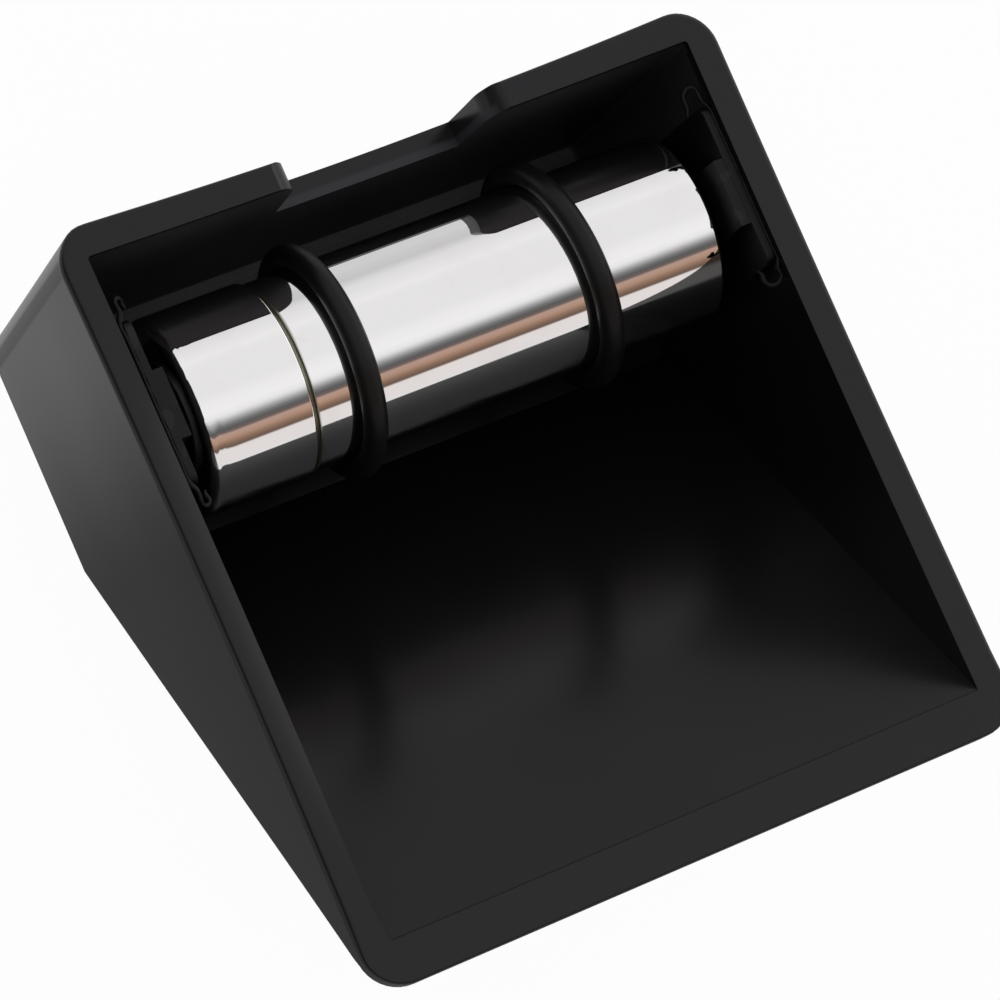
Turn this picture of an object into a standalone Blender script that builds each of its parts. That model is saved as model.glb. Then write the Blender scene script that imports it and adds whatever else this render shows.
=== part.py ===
"""Edge tuning tool: a wedge-shaped moulded tray with a tyred roller turning across its deep end.

The tray lies on its flat back with its open face up. X runs along the roller, Y from the thin lip to the
deep end, and Z up from the flat back. The origin is under the middle of the tray. Sizes are in metres.
"""
import math

import bmesh
import bpy
from mathutils import Matrix, Vector

# Moulded housing: an open tray, deep at the end wall and tapering to a thin lip
HOUSING_WIDTH = 0.0500
HOUSING_LENGTH = 0.0540
SIDE_WALL = 0.00225
END_WALL = 0.00225
FLOOR_WALL = 0.0015
SIDE_DRAFT_DEGREES = 2.0
BACK_FLAT_LENGTH = 0.0183
LIP_WIDTH = 0.0031
LIP_THICKNESS = 0.0014
CORNER_RADIUS = 0.0030
INNER_CORNER_RADIUS = 0.0006
RIM_FILLET = 0.0008
BACK_FILLET = 0.0005

# Notch in the middle of the end wall
NOTCH_WIDTH = 0.0146
NOTCH_DEPTH = 0.0065
NOTCH_LEAN_DEGREES = 3.0
NOTCH_RIM_RADIUS = 0.0011

# Roller: a drawn barrel, a slip-on end cap and two rubber rings
BARREL_RADIUS = 0.0068
BARREL_WALL = 0.0011
BARREL_END_RADIUS = 0.0009
CAP_STEP = 0.00025
CAP_WALL = 0.0008
CAP_LENGTH = 0.0080
CAP_END_RADIUS = 0.0012
SEAM_EDGE_RADIUS = 0.0002
SPIGOT_LENGTH = 0.0040
SPIGOT_WALL = 0.0008
RING_SECTION_RADIUS = 0.00085
RING_FROM_SEAM = 0.0038
RING_FROM_END = 0.0097
RING_BELOW_RIM = 0.0007
RING_TO_END_WALL = 0.0017
RING_TO_FLOOR = 0.0053

# Axle and the bushes that the roller turns on; the left bush has a collar that spaces the roller from its plate
AXLE_RADIUS = 0.0015
AXLE_CHAMFER = 0.0003
BUSH_WALL = 0.0012
BUSH_LENGTH = 0.0035
COLLAR_RADIUS = 0.0040
COLLAR_LENGTH = 0.00054

# Bearing plates bonded to the side walls, each with a raised rib that carries the axle
PLATE_LENGTH = 0.0118
PLATE_THICKNESS = 0.00055
PLATE_BELOW_RIM = 0.0006
PLATE_BELOW_AXIS = 0.0048
PLATE_CORNER_RADIUS = 0.0008
RIB_WIDTH = 0.0056
RIB_HEIGHT = 0.00075

# Adhesive squeezed out past both ends of each plate
BEAD_RADIUS = 0.0004
BEAD_HOOK_RADIUS = 0.0007
BEAD_LEG = 0.0012
BEAD_TAIL = 0.0012

# Clearances
SEAT_GAP = 0.0003
RUNNING_GAP = 0.0003
GLUE_GAP = 0.0003

# Smoothness of the round pieces
ROUND_SEGMENTS = 48
SMALL_ROUND_SEGMENTS = 32
RING_SECTION_SEGMENTS = 12
CORNER_SEGMENTS = 6
CUT_MARGIN = 0.0020
WELD_DISTANCE = 0.000001
FLAT_ANGLE = math.radians(0.5)

# Worked out from the sizes above
SIDE_DRAFT = math.radians(SIDE_DRAFT_DEGREES)
RING_OUTER_RADIUS = BARREL_RADIUS + SEAT_GAP + 2 * RING_SECTION_RADIUS
AXIS_BELOW_RIM = RING_OUTER_RADIUS + RING_BELOW_RIM
RIM_HEIGHT = AXIS_BELOW_RIM + RING_OUTER_RADIUS + RING_TO_FLOOR + FLOOR_WALL
LIP_EDGE_Y = -HOUSING_LENGTH / 2
END_FACE_Y = HOUSING_LENGTH / 2
AXIS_Y = END_FACE_Y - END_WALL - RING_TO_END_WALL - RING_OUTER_RADIUS
AXIS_Z = RIM_HEIGHT - AXIS_BELOW_RIM
CAP_RADIUS = BARREL_RADIUS + CAP_STEP
SPIGOT_RADIUS = CAP_RADIUS - CAP_WALL - SEAT_GAP
BUSH_BORE_RADIUS = AXLE_RADIUS + RUNNING_GAP
BUSH_RADIUS = BUSH_BORE_RADIUS + BUSH_WALL
END_HOLE_RADIUS = BUSH_RADIUS + SEAT_GAP


def inner_wall_x(depth):
    """Distance from the middle to the inner face of a side wall, at a depth below the rim."""
    return HOUSING_WIDTH / 2 - SIDE_WALL - depth * math.tan(SIDE_DRAFT)


RIB_FACE_X = (inner_wall_x(AXIS_BELOW_RIM + RIB_WIDTH / 2)
              - (GLUE_GAP + PLATE_THICKNESS + RIB_HEIGHT) / math.cos(SIDE_DRAFT))
RIGHT_END_X = RIB_FACE_X - RUNNING_GAP
COLLAR_OUT_X = -RIB_FACE_X + RUNNING_GAP
COLLAR_IN_X = COLLAR_OUT_X + COLLAR_LENGTH
LEFT_END_X = COLLAR_IN_X + SEAT_GAP
SEAM_X = LEFT_END_X + CAP_LENGTH
AXLE_HALF = inner_wall_x(AXIS_BELOW_RIM + AXLE_RADIUS) - SEAT_GAP


def start_collections():
    """Empty the scene and return the collections for the parts and for the cutters."""
    for item in list(bpy.data.objects):
        bpy.data.objects.remove(item, do_unlink=True)
    parts = bpy.data.collections.new("edge_tuning_tool")
    cutters = bpy.data.collections.new("cutters")
    bpy.context.scene.collection.children.link(parts)
    bpy.context.scene.collection.children.link(cutters)
    return parts, cutters


def make_material(name, colour, roughness, metallic=0.0):
    material = bpy.data.materials.new(name)
    material.use_nodes = True
    shader = material.node_tree.nodes["Principled BSDF"]
    shader.inputs["Base Color"].default_value = (*colour, 1.0)
    shader.inputs["Roughness"].default_value = roughness
    shader.inputs["Metallic"].default_value = metallic
    return material


def add_part(name, data, collection, material=None):
    item = bpy.data.objects.new(name, data)
    collection.objects.link(item)
    if material:
        data.materials.append(material)
    return item


def add_cutter(name, mesh, collection):
    item = add_part(name, mesh, collection)
    item.hide_render = True
    item.display_type = "WIRE"
    return item


def plain_mesh(item):
    """Return the object's evaluated shape as a mesh of its own, welded, with flat faces merged."""
    bpy.context.view_layer.update()
    graph = bpy.context.evaluated_depsgraph_get()
    mesh = bpy.data.meshes.new_from_object(item.evaluated_get(graph))
    shape = bmesh.new()
    shape.from_mesh(mesh)
    bmesh.ops.remove_doubles(shape, verts=shape.verts, dist=WELD_DISTANCE)
    bmesh.ops.dissolve_limit(shape, angle_limit=FLAT_ANGLE, verts=shape.verts, edges=shape.edges)
    bmesh.ops.recalc_face_normals(shape, faces=shape.faces)
    shape.to_mesh(mesh)
    shape.free()
    return mesh


def extruded_outline(name, points, thickness, collection):
    """Extrude a closed XY outline evenly to both sides of the XY plane, and return the mesh."""
    curve = bpy.data.curves.new(name, "CURVE")
    curve.dimensions = "2D"
    curve.fill_mode = "BOTH"
    curve.extrude = thickness / 2
    spline = curve.splines.new("POLY")
    spline.points.add(len(points) - 1)
    for point, (x, y) in zip(spline.points, points):
        point.co = (x, y, 0.0, 1.0)
    spline.use_cyclic_u = True
    item = add_part(name, curve, collection)
    mesh = plain_mesh(item)
    bpy.data.objects.remove(item)
    return mesh


def side_prism(name, yz_points, half_width, collection):
    """Extrude an outline drawn in the YZ plane along X."""
    mesh = extruded_outline(name, yz_points, 2 * half_width, collection)
    mesh.transform(Matrix(((0, 0, 1, 0), (1, 0, 0, 0), (0, 1, 0, 0), (0, 0, 0, 1))))
    return mesh


def end_prism(name, xz_points, y_low, y_high, collection):
    """Extrude an outline drawn in the XZ plane along Y, between two positions."""
    mesh = extruded_outline(name, xz_points, y_high - y_low, collection)
    middle = (y_low + y_high) / 2
    mesh.transform(Matrix(((1, 0, 0, 0), (0, 0, -1, middle), (0, 1, 0, 0), (0, 0, 0, 1))))
    return mesh


def arc(centre, radius, start, end, steps):
    """Points along an arc, with angles in degrees."""
    points = []
    for step in range(steps + 1):
        angle = math.radians(start + (end - start) * step / steps)
        points.append((centre[0] + radius * math.cos(angle), centre[1] + radius * math.sin(angle)))
    return points


def rounded_rectangle(x_half, y_low, y_high, radius):
    points = []
    corners = (
        (x_half - radius, y_low + radius, -90),
        (x_half - radius, y_high - radius, 0),
        (radius - x_half, y_high - radius, 90),
        (radius - x_half, y_low + radius, 180),
    )
    for x, y, start in corners:
        points += arc((x, y), radius, start, start + 90, CORNER_SEGMENTS)
    return points


def drafted_block(name, outline, x_half, top, bottom, collection):
    """A block under a rim outline whose sides lean in with depth, measured from the rim."""
    mesh = extruded_outline(name, outline, top - bottom, collection)
    mesh.transform(Matrix.Translation((0, 0, (top + bottom) / 2)))
    for vertex in mesh.vertices:
        inset = (RIM_HEIGHT - vertex.co.z) * math.tan(SIDE_DRAFT)
        vertex.co.x *= (x_half - inset) / x_half
    return mesh


def bevel_edges(mesh, wanted, width, segments):
    """Round the edges for which wanted(edge) is true."""
    shape = bmesh.new()
    shape.from_mesh(mesh)
    shape.normal_update()
    edges = [edge for edge in shape.edges if wanted(edge)]
    bmesh.ops.bevel(shape, geom=edges, offset=width, offset_type="OFFSET", segments=segments,
                    profile=0.5, affect="EDGES", clamp_overlap=True)
    shape.to_mesh(mesh)
    shape.free()


def add_boolean(item, cutter, operation="DIFFERENCE"):
    modifier = item.modifiers.new(cutter.name, "BOOLEAN")
    modifier.operation = operation
    modifier.object = cutter
    modifier.solver = "EXACT"


def floor_angle():
    """Slope of the floor, so that the back runs parallel to it and meets the flat back at its bend."""
    run = HOUSING_LENGTH - BACK_FLAT_LENGTH - LIP_WIDTH
    reach = math.hypot(run, RIM_HEIGHT)
    return math.atan2(RIM_HEIGHT, run) - math.asin(FLOOR_WALL / reach)


def make_outer_shell(parts, cutters):
    """The outside of the tray: a drafted block with a rounded rim, cut away behind the lip and slope."""
    outline = rounded_rectangle(HOUSING_WIDTH / 2, LIP_EDGE_Y, END_FACE_Y, CORNER_RADIUS)
    mesh = drafted_block("housing", outline, HOUSING_WIDTH / 2, RIM_HEIGHT, 0.0, parts)

    def on_rim(edge):
        return all(abs(vertex.co.z - RIM_HEIGHT) < WELD_DISTANCE for vertex in edge.verts)

    bevel_edges(mesh, on_rim, RIM_FILLET, 3)
    bend_y = END_FACE_Y - BACK_FLAT_LENGTH
    lip_under = RIM_HEIGHT - LIP_THICKNESS
    lip_back_y = bend_y - lip_under / math.tan(floor_angle())
    below = (
        (LIP_EDGE_Y - CUT_MARGIN, lip_under),
        (lip_back_y, lip_under),
        (bend_y, 0.0),
        (bend_y, -CUT_MARGIN),
        (LIP_EDGE_Y - CUT_MARGIN, -CUT_MARGIN),
    )
    cutter = add_cutter("slope_cutter", side_prism("slope", below, HOUSING_WIDTH, cutters), cutters)
    block = add_part("outer_block", mesh, parts)
    add_boolean(block, cutter)
    shell = plain_mesh(block)
    bpy.data.objects.remove(block)
    bpy.data.objects.remove(cutter)

    def on_back_outline(edge):
        steep = [abs(face.normal.z) < 0.3 for face in edge.link_faces]
        under = [face.normal.z < -0.5 for face in edge.link_faces]
        return any(steep) and any(under)

    bevel_edges(shell, on_back_outline, BACK_FILLET, 2)
    return shell


def make_cavity_cutter(cutters):
    """The hollow of the tray: a drafted block less everything below the floor."""
    slope = math.tan(floor_angle())
    crease_y = LIP_EDGE_Y + LIP_WIDTH
    bend_y = crease_y + (RIM_HEIGHT - FLOOR_WALL) / slope
    top = RIM_HEIGHT + CUT_MARGIN
    front_y = crease_y - CUT_MARGIN / slope
    inner_half = HOUSING_WIDTH / 2 - SIDE_WALL
    outline = rounded_rectangle(inner_half, front_y, END_FACE_Y - END_WALL, INNER_CORNER_RADIUS)
    mesh = drafted_block("cavity", outline, inner_half, top, 0.0, cutters)
    cavity = add_cutter("cavity_cutter", mesh, cutters)
    far_y = front_y - CUT_MARGIN
    under_floor = (
        (far_y, RIM_HEIGHT + (crease_y - far_y) * slope),
        (bend_y, FLOOR_WALL),
        (END_FACE_Y, FLOOR_WALL),
        (END_FACE_Y, -CUT_MARGIN),
        (far_y, -CUT_MARGIN),
    )
    floor = add_cutter("floor_block", side_prism("floor", under_floor, HOUSING_WIDTH, cutters), cutters)
    add_boolean(cavity, floor)
    return cavity


def make_notch_cutter(cutters):
    """The notch in the end wall: sides leaning out to the rim, where they round over."""
    lean = math.radians(NOTCH_LEAN_DEGREES)
    foot = NOTCH_WIDTH / 2
    floor_z = RIM_HEIGHT - NOTCH_DEPTH
    top_z = RIM_HEIGHT + CUT_MARGIN
    round_x = foot + (NOTCH_DEPTH - NOTCH_RIM_RADIUS) * math.tan(lean) + NOTCH_RIM_RADIUS
    rim_arc = arc((round_x, RIM_HEIGHT - NOTCH_RIM_RADIUS), NOTCH_RIM_RADIUS, 180 - NOTCH_LEAN_DEGREES, 90, 4)
    right = [(foot, floor_z), *rim_arc, (round_x, top_z)]
    left = [(-x, z) for x, z in reversed(right)]
    reach_in = END_FACE_Y - END_WALL - CUT_MARGIN
    mesh = end_prism("notch", right + left, reach_in, END_FACE_Y + CUT_MARGIN, cutters)
    return add_cutter("notch_cutter", mesh, cutters)


def make_housing(parts, cutters, material):
    housing = add_part("housing", make_outer_shell(parts, cutters), parts, material)
    add_boolean(housing, make_cavity_cutter(cutters))
    add_boolean(housing, make_notch_cutter(cutters))
    return housing


def make_turned(name, profile, collection, material, segments):
    """Turn a closed profile of (radius, position along X) points about the roller's axis."""
    mesh = bpy.data.meshes.new(name)
    shape = bmesh.new()
    ring = [shape.verts.new((radius, 0.0, along)) for radius, along in profile]
    for first, second in zip(ring, ring[1:] + ring[:1]):
        shape.edges.new((first, second))
    shape.to_mesh(mesh)
    shape.free()
    item = add_part(name, mesh, collection, material)
    screw = item.modifiers.new("turn", "SCREW")
    screw.axis = "Z"
    screw.angle = math.tau
    screw.steps = segments
    screw.render_steps = segments
    screw.use_merge_vertices = True
    screw.merge_threshold = WELD_DISTANCE
    item.rotation_euler = (0.0, math.pi / 2, 0.0)
    return item


def barrel_profile():
    """Drawn tube: closed, round-edged right end, and a narrower spigot that goes into the cap."""
    shoulder = SEAM_X + SEAT_GAP
    bore = BARREL_RADIUS - BARREL_WALL
    spigot_bore = SPIGOT_RADIUS - SPIGOT_WALL
    end_corner = (BARREL_RADIUS - BARREL_END_RADIUS, RIGHT_END_X - BARREL_END_RADIUS)
    edge_corner = (BARREL_RADIUS - SEAM_EDGE_RADIUS, shoulder + SEAM_EDGE_RADIUS)
    neck = bore - spigot_bore
    return [
        (END_HOLE_RADIUS, RIGHT_END_X),
        *arc(end_corner, BARREL_END_RADIUS, 90, 0, 5),
        *arc(edge_corner, SEAM_EDGE_RADIUS, 0, -90, 2),
        (SPIGOT_RADIUS, shoulder),
        (SPIGOT_RADIUS, shoulder - SPIGOT_LENGTH),
        (spigot_bore, shoulder - SPIGOT_LENGTH),
        (spigot_bore, shoulder + BARREL_WALL),
        (bore, shoulder + BARREL_WALL + neck),
        (bore, RIGHT_END_X - BARREL_END_RADIUS),
        (bore - neck, RIGHT_END_X - BARREL_WALL),
        (END_HOLE_RADIUS, RIGHT_END_X - BARREL_WALL),
    ]


def cap_profile():
    """Drawn cup that slips over the spigot and closes the roller's left end."""
    bore = CAP_RADIUS - CAP_WALL
    edge_corner = (CAP_RADIUS - SEAM_EDGE_RADIUS, SEAM_X - SEAM_EDGE_RADIUS)
    end_corner = (CAP_RADIUS - CAP_END_RADIUS, LEFT_END_X + CAP_END_RADIUS)
    return [
        (bore, SEAM_X),
        *arc(edge_corner, SEAM_EDGE_RADIUS, 90, 0, 2),
        *arc(end_corner, CAP_END_RADIUS, 0, -90, 4),
        (END_HOLE_RADIUS, LEFT_END_X),
        (END_HOLE_RADIUS, LEFT_END_X + CAP_WALL),
        (bore, LEFT_END_X + CAP_WALL),
    ]


def right_bush_profile():
    """Plain bush pressed into the right end, flush with it."""
    foot = RIGHT_END_X - BUSH_LENGTH
    return [
        (BUSH_BORE_RADIUS, RIGHT_END_X),
        (BUSH_RADIUS, RIGHT_END_X),
        (BUSH_RADIUS, foot),
        (BUSH_BORE_RADIUS, foot),
    ]


def left_bush_profile():
    """Bush pressed into the left end, with a collar between the roller and the left plate."""
    foot = LEFT_END_X + BUSH_LENGTH
    return [
        (BUSH_BORE_RADIUS, foot),
        (BUSH_RADIUS, foot),
        (BUSH_RADIUS, COLLAR_IN_X),
        (COLLAR_RADIUS, COLLAR_IN_X),
        (COLLAR_RADIUS, COLLAR_OUT_X),
        (BUSH_BORE_RADIUS, COLLAR_OUT_X),
    ]


def make_ring(name, x, parts, material):
    bpy.ops.mesh.primitive_torus_add(
        major_radius=RING_OUTER_RADIUS - RING_SECTION_RADIUS, minor_radius=RING_SECTION_RADIUS,
        major_segments=ROUND_SEGMENTS, minor_segments=RING_SECTION_SEGMENTS)
    ring = bpy.context.object
    for collection in ring.users_collection:
        collection.objects.unlink(ring)
    parts.objects.link(ring)
    ring.name = name
    ring.data.name = name
    ring.data.materials.append(material)
    ring.location = (x, 0.0, 0.0)
    ring.rotation_euler = (0.0, math.pi / 2, 0.0)
    return ring


def make_axle(parts, material):
    mesh = bpy.data.meshes.new("axle")
    shape = bmesh.new()
    bmesh.ops.create_cone(shape, cap_ends=True, segments=SMALL_ROUND_SEGMENTS, radius1=AXLE_RADIUS,
                          radius2=AXLE_RADIUS, depth=2 * AXLE_HALF)
    shape.to_mesh(mesh)
    shape.free()
    axle = add_part("axle", mesh, parts, material)
    axle.rotation_euler = (0.0, math.pi / 2, 0.0)
    chamfer = axle.modifiers.new("chamfer", "BEVEL")
    chamfer.width = AXLE_CHAMFER
    chamfer.segments = 1
    return axle


def make_plate(name, side, parts, cutters, material, axle_hole):
    """A plate on one side wall, leaning with the wall, with a rib down to the axle hole."""
    plate_top = AXIS_BELOW_RIM - PLATE_BELOW_RIM
    rib_half = RIB_WIDTH / 2
    outline = rounded_rectangle(PLATE_LENGTH / 2, -PLATE_BELOW_AXIS, plate_top, PLATE_CORNER_RADIUS)
    plate_mesh = extruded_outline(name, outline, PLATE_THICKNESS, parts)
    rib_outline = [(rib_half, plate_top), (-rib_half, plate_top), *arc((0, 0), rib_half, 180, 360, 12)]
    rib_mesh = extruded_outline(name + "_rib", rib_outline, PLATE_THICKNESS + RIB_HEIGHT, cutters)
    rib_mesh.transform(Matrix.Translation((0, 0, RIB_HEIGHT / 2)))
    stand = Matrix(((0, 0, -side, 0), (side, 0, 0, 0), (0, 1, 0, 0), (0, 0, 0, 1)))
    lean = Matrix.Rotation(side * SIDE_DRAFT, 4, "Y")
    offset = Matrix.Translation((0, 0, GLUE_GAP + PLATE_THICKNESS / 2))
    wall_point = Vector((side * inner_wall_x(AXIS_BELOW_RIM), AXIS_Y, AXIS_Z))
    place = Matrix.Translation(wall_point) @ lean @ stand @ offset
    plate = add_part(name, plate_mesh, parts, material)
    plate.matrix_world = place
    rib = add_cutter(name + "_rib", rib_mesh, cutters)
    rib.matrix_world = place
    add_boolean(plate, rib, "UNION")
    add_boolean(plate, axle_hole)
    return plate


def bead_points(side, end):
    """A level hook of squeezed-out adhesive: along the wall past the plate's end, round and back."""
    depth = PLATE_BELOW_RIM + BEAD_RADIUS
    wall_leg = inner_wall_x(depth) - SEAT_GAP - BEAD_RADIUS
    start = PLATE_LENGTH / 2 + SEAT_GAP
    turn = start + BEAD_LEG
    path = [(wall_leg, start), (wall_leg, start + BEAD_LEG / 2)]
    path += arc((wall_leg - BEAD_HOOK_RADIUS, turn), BEAD_HOOK_RADIUS, 0, 180, 6)
    path.append((wall_leg - 2 * BEAD_HOOK_RADIUS, turn - BEAD_TAIL))
    return [(side * x, AXIS_Y + end * along, RIM_HEIGHT - depth) for x, along in path]


def make_bead(name, side, end, parts, material):
    curve = bpy.data.curves.new(name, "CURVE")
    curve.dimensions = "3D"
    curve.bevel_depth = BEAD_RADIUS
    curve.bevel_resolution = 2
    curve.use_fill_caps = True
    points = bead_points(side, end)
    spline = curve.splines.new("POLY")
    spline.points.add(len(points) - 1)
    for point, place in zip(spline.points, points):
        point.co = (*place, 1.0)
    return add_part(name, curve, parts, material)


def make_roller(parts, chrome, acetal, rubber):
    """The pieces that turn together, hung on an empty on the roller's axis."""
    axis = bpy.data.objects.new("roller_axis", None)
    parts.objects.link(axis)
    axis.location = (0.0, AXIS_Y, AXIS_Z)
    pieces = [
        make_turned("roller_barrel", barrel_profile(), parts, chrome, ROUND_SEGMENTS),
        make_turned("roller_end_cap", cap_profile(), parts, chrome, ROUND_SEGMENTS),
        make_turned("left_bush", left_bush_profile(), parts, acetal, SMALL_ROUND_SEGMENTS),
        make_turned("right_bush", right_bush_profile(), parts, acetal, SMALL_ROUND_SEGMENTS),
        make_ring("left_grip_ring", SEAM_X + RING_FROM_SEAM, parts, rubber),
        make_ring("right_grip_ring", RIGHT_END_X - RING_FROM_END, parts, rubber),
    ]
    for piece in pieces:
        piece.parent = axis
    return axis


def make_axle_hole(cutters):
    mesh = bpy.data.meshes.new("axle_hole")
    shape = bmesh.new()
    bmesh.ops.create_cone(shape, cap_ends=True, segments=SMALL_ROUND_SEGMENTS,
                          radius1=AXLE_RADIUS + SEAT_GAP, radius2=AXLE_RADIUS + SEAT_GAP, depth=HOUSING_WIDTH)
    shape.to_mesh(mesh)
    shape.free()
    hole = add_cutter("axle_hole", mesh, cutters)
    hole.location = (0.0, AXIS_Y, AXIS_Z)
    hole.rotation_euler = (0.0, math.pi / 2, 0.0)
    return hole


def main():
    parts, cutters = start_collections()
    black_moulding = make_material("black_moulding", (0.012, 0.012, 0.013), 0.32)
    plate_plastic = make_material("plate_plastic", (0.016, 0.016, 0.017), 0.45)
    adhesive = make_material("adhesive", (0.008, 0.008, 0.008), 0.12)
    chrome = make_material("chrome", (0.86, 0.86, 0.87), 0.04, 1.0)
    steel = make_material("axle_steel", (0.60, 0.60, 0.61), 0.3, 1.0)
    acetal = make_material("bush_plastic", (0.020, 0.020, 0.020), 0.4)
    rubber = make_material("ring_rubber", (0.014, 0.014, 0.014), 0.5)

    make_housing(parts, cutters, black_moulding)
    axle_hole = make_axle_hole(cutters)
    for side_name, side in (("left", -1), ("right", 1)):
        make_plate(side_name + "_bearing_plate", side, parts, cutters, plate_plastic, axle_hole)
        for end_name, end in (("upper", 1), ("lower", -1)):
            make_bead(f"{side_name}_{end_name}_adhesive", side, end, parts, adhesive)
    axis = make_roller(parts, chrome, acetal, rubber)
    axle = make_axle(parts, steel)
    axle.location = axis.location
    for item in parts.objects:
        if item.type == "MESH":
            item.data.shade_smooth()
            item.data.set_sharp_from_angle(angle=math.radians(35))
    bpy.context.view_layer.update()


main()
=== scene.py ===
# %% [markdown]
# # Edge tuning tool
# The tool is a black moulded tray, shaped like a wedge, with a chrome roller turning across its deep end.
# The roller carries two rubber rings. This notebook starts from the solid model and gives every piece its
# finer shape and its finish. Each piece is made in the solid model's own frame: X along the roller, Y
# from the thin lip to the deep end, Z up from the flat back, all in metres.

# %% Load the solid model
import math

import bmesh
import bpy
from mathutils import Euler, Matrix, Vector


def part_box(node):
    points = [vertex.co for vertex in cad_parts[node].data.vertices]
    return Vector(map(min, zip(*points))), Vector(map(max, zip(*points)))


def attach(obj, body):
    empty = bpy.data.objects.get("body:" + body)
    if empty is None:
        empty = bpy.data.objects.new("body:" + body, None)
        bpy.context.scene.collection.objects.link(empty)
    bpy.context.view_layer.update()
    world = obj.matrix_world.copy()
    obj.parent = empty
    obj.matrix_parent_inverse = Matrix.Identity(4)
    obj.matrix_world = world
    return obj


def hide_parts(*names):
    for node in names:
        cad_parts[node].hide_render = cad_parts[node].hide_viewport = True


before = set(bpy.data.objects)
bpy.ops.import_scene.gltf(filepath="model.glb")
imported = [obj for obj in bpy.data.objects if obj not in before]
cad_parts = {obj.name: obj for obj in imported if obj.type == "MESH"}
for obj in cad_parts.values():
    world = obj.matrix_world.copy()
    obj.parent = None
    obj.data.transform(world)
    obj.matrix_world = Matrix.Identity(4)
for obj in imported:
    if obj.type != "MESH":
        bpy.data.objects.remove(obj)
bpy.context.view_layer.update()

MM = 0.001

# %% [markdown]
# ## One helper for every node tree
# Shader trees and Geometry Nodes trees are both graphs of nodes, so one small helper can build both. A
# Socket wraps one output and lets plain Python expressions add Math nodes. Every other kind of node comes
# from one method that sets the node's options first and its inputs afterwards. Writing nodes by hand in
# the editor gives the same graph, but a script can be read, changed and run again.


# %% Socket and tree helpers
class Socket:
    """An output socket that can be used in Python expressions; each operator adds one Math node."""

    def __init__(self, tree, socket):
        self.tree = tree
        self.socket = socket

    def math(self, operation, first, second=0.0):
        return self.tree.node("ShaderNodeMath", {"operation": operation}, {0: first, 1: second})

    def __add__(self, other):
        return self.math("ADD", self, other)

    def __radd__(self, other):
        return self.math("ADD", other, self)

    def __sub__(self, other):
        return self.math("SUBTRACT", self, other)

    def __rsub__(self, other):
        return self.math("SUBTRACT", other, self)

    def __mul__(self, other):
        return self.math("MULTIPLY", self, other)

    def __rmul__(self, other):
        return self.math("MULTIPLY", other, self)

    def __truediv__(self, other):
        return self.math("DIVIDE", self, other)

    def __rtruediv__(self, other):
        return self.math("DIVIDE", other, self)

    def __pow__(self, other):
        return self.math("POWER", self, other)

    def __abs__(self):
        return self.math("ABSOLUTE", self)

    def least(self, other):
        return self.math("MINIMUM", self, other)

    def most(self, other):
        return self.math("MAXIMUM", self, other)

    def ramp(self, low, high):
        """0 below low, 1 above high, and smooth between them."""
        return self.tree.node("ShaderNodeMapRange", {"interpolation_type": "SMOOTHSTEP"},
                              {"Value": self, "From Min": low, "From Max": high})

    def band(self, low, low_full, high_full, high):
        """1 between two places, and smooth down to 0 on both sides of them."""
        return self.ramp(low, low_full) * (1.0 - self.ramp(high_full, high))

    def output(self, key):
        """Another output of the same node."""
        return Socket(self.tree, pick(self.socket.node.outputs, key))


def pick(sockets, key):
    """Find a socket by its place, its identifier or its name."""
    if isinstance(key, int):
        return sockets[key]
    for socket in sockets:
        if socket.identifier == key:
            return socket
    return sockets[key]


class Tree:
    """A node tree and the one method that adds any node to it."""

    def __init__(self, data):
        self.data = data

    def node(self, kind, settings=None, values=None, output=0):
        made = self.data.nodes.new(kind)
        for key, setting in (settings or {}).items():
            if key == "stops":
                self.set_stops(made.color_ramp, setting)
            else:
                setattr(made, key, setting)
        for key, value in (values or {}).items():
            target = pick(made.inputs, key)
            if isinstance(value, Socket):
                self.data.links.new(value.socket, target)
            else:
                target.default_value = value
        if not made.outputs:
            return made
        return Socket(self, pick(made.outputs, output))

    def set_stops(self, ramp, stops):
        while len(ramp.elements) < len(stops):
            ramp.elements.new(1.0)
        for element, (place, colour) in zip(ramp.elements, stops):
            element.position = place
            element.color = (*colour, 1.0) if isinstance(colour, tuple) else (colour, colour, colour, 1.0)

    def mix(self, factor, first, second):
        """Blend two colours."""
        return self.node("ShaderNodeMix", {"data_type": "RGBA"},
                         {"Factor_Float": factor, "A_Color": first, "B_Color": second}, "Result_Color")

    def scale(self, vector, amount):
        """Multiply a vector or a colour by a number."""
        return self.node("ShaderNodeVectorMath", {"operation": "SCALE"},
                         {"Vector": vector, "Scale": amount})


def grey(value, tint=(1.0, 1.0, 1.0)):
    return (value * tint[0], value * tint[1], value * tint[2], 1.0)


print("helpers ready")

# %% [markdown]
# ## Finishes
# Each finish is one function that adds the texture nodes the real surface needs. They all read Object
# coordinates, which are the model's own metres, so a noise scale of 1000 has features about a millimetre
# across. Only colour, roughness and the bump change over a surface; numbers that are the same all over
# are set straight on the shader.


# %% Start of a finish
def new_finish(name):
    """A new material, its empty node tree and its Object coordinates."""
    material = bpy.data.materials.new(name)
    material.use_nodes = True
    material.node_tree.nodes.clear()
    tree = Tree(material.node_tree)
    place = tree.node("ShaderNodeTexCoord", output="Object")
    return material, tree, place


def end_finish(tree, colour, roughness, normal, constants):
    """Add the Principled shader and the output; the constants are the same all over the surface."""
    shader = tree.node("ShaderNodeBsdfPrincipled", None,
                       {**constants, "Base Color": colour, "Roughness": roughness, "Normal": normal})
    tree.node("ShaderNodeOutputMaterial", None, {"Surface": shader})


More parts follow.
